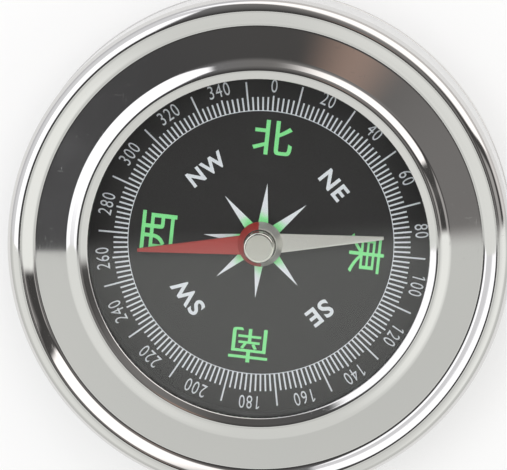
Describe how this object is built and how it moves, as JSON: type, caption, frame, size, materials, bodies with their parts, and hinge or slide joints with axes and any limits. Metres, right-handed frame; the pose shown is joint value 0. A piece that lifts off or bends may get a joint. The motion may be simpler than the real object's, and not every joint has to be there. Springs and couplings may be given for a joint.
{
  "type": "magnetic compass",
  "caption": "Round pocket compass: polished steel shell with a dished front, flat crystal, black degree dial, and a magnetic needle that turns freely on a steel point.",
  "frame": {"origin": "centre of the flat back, where the compass rests on a map or a table", "axes": "+Z out through the dial and the crystal, along the needle's pivot; +Y to the dial's zero (north) mark; +X to its 90 (east) mark"},
  "size_m": [0.075, 0.075, 0.0131],
  "materials": {
    "shell_steel": "mirror-polished stainless steel",
    "back_steel": "polished stainless steel",
    "crystal_glass": "clear polished glass",
    "seal_rubber": "matt black rubber",
    "spacer_plastic": "matt black moulding",
    "dial_black": "matt black paint with pale grey and green print",
    "carrier_plastic": "matt black moulding",
    "bush_brass": "turned brass",
    "pin_steel": "ground steel",
    "needle_paint": "one half red, the other half silver white",
    "cap_steel": "satin top, bright side",
    "jewel_stone": "polished synthetic stone",
    "collar_brass": "turned brass"
  },
  "bodies": {
    "case": {"front_shell": "shell_steel", "back_cover": "back_steel", "crystal": "crystal_glass", "crystal_gasket": "seal_rubber", "case_seal": "seal_rubber", "spacer_ring": "spacer_plastic", "dial_plate": "dial_black", "dial_carrier": "carrier_plastic", "pivot_bush": "bush_brass", "pivot_pin": "pin_steel"},
    "needle": {"needle_blade": "needle_paint", "needle_cap": "cap_steel", "jewel_cup": "jewel_stone", "needle_collar": "collar_brass"}
  },
  "joints": [
    {"name": "needle_swing", "type": "hinge", "parent": "case", "child": "needle", "pos_m": [0, 0, 0.01035], "axis": [0, 0, 1], "continuous": true}
  ]
}
